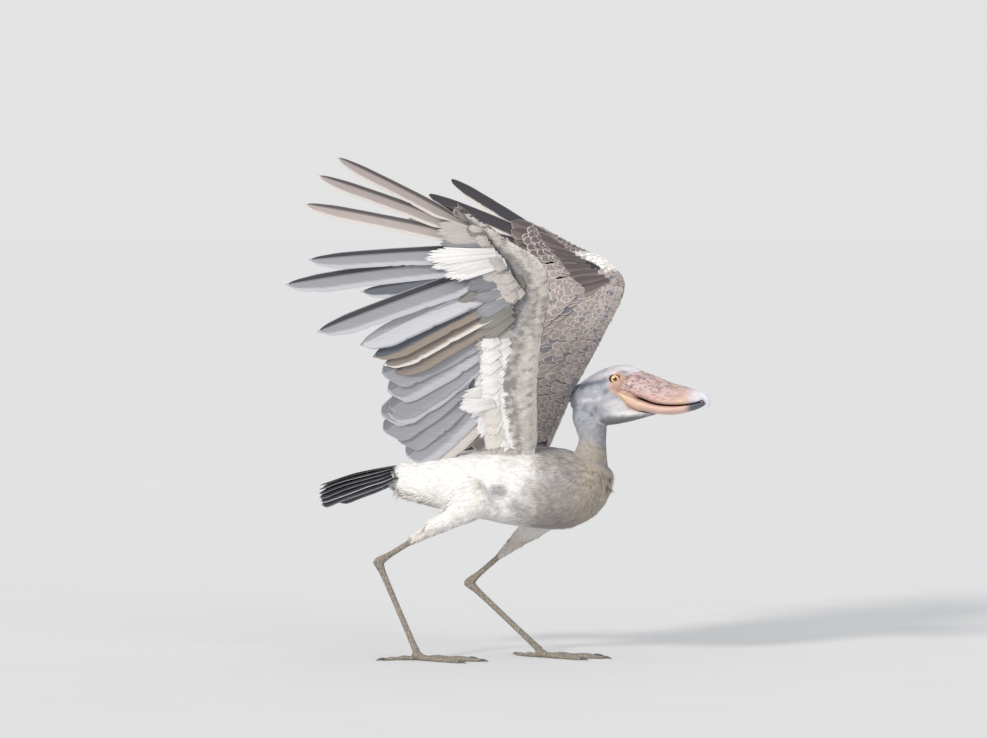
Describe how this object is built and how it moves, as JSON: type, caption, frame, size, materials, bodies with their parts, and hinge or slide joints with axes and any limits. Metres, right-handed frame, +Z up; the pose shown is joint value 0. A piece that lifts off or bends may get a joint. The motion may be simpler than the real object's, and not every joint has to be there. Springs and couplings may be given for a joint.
{
  "type": "shoebill bird model",
  "caption": "Life-size still model of a large grey wading bird with a huge hooked bill, wings raised, in a low stride.",
  "frame": {"origin": "on the floor, at the middle of the model's box", "axes": "+X towards the bird's head, +Y to the bird's left, +Z up"},
  "size_m": [0.977, 0.9658, 1.2059],
  "materials": {
    "plumage": "soft grey body feathers",
    "flight": "smooth slate-grey flight feathers",
    "bill": "satin horn, mottled",
    "eye": "wet gloss",
    "leg_skin": "scaly grey skin",
    "claw": "dark horn"
  },
  "bodies": {
    "root": {"torso": "plumage", "neck": "plumage", "head": "plumage", "bill_upper": "bill", "bill_lower": "bill", "tail": "flight", "eye_right": "eye", "wing_right": "flight", "shin_right": "plumage", "leg_right": "leg_skin", "foot_right": "leg_skin", "claw_right_hind": "claw", "claw_right_inner": "claw", "claw_right_middle": "claw", "claw_right_outer": "claw", "eye_left": "eye", "wing_left": "flight", "shin_left": "plumage", "leg_left": "leg_skin", "foot_left": "leg_skin", "claw_left_hind": "claw", "claw_left_inner": "claw", "claw_left_middle": "claw", "claw_left_outer": "claw"}
  },
  "joints": []
}
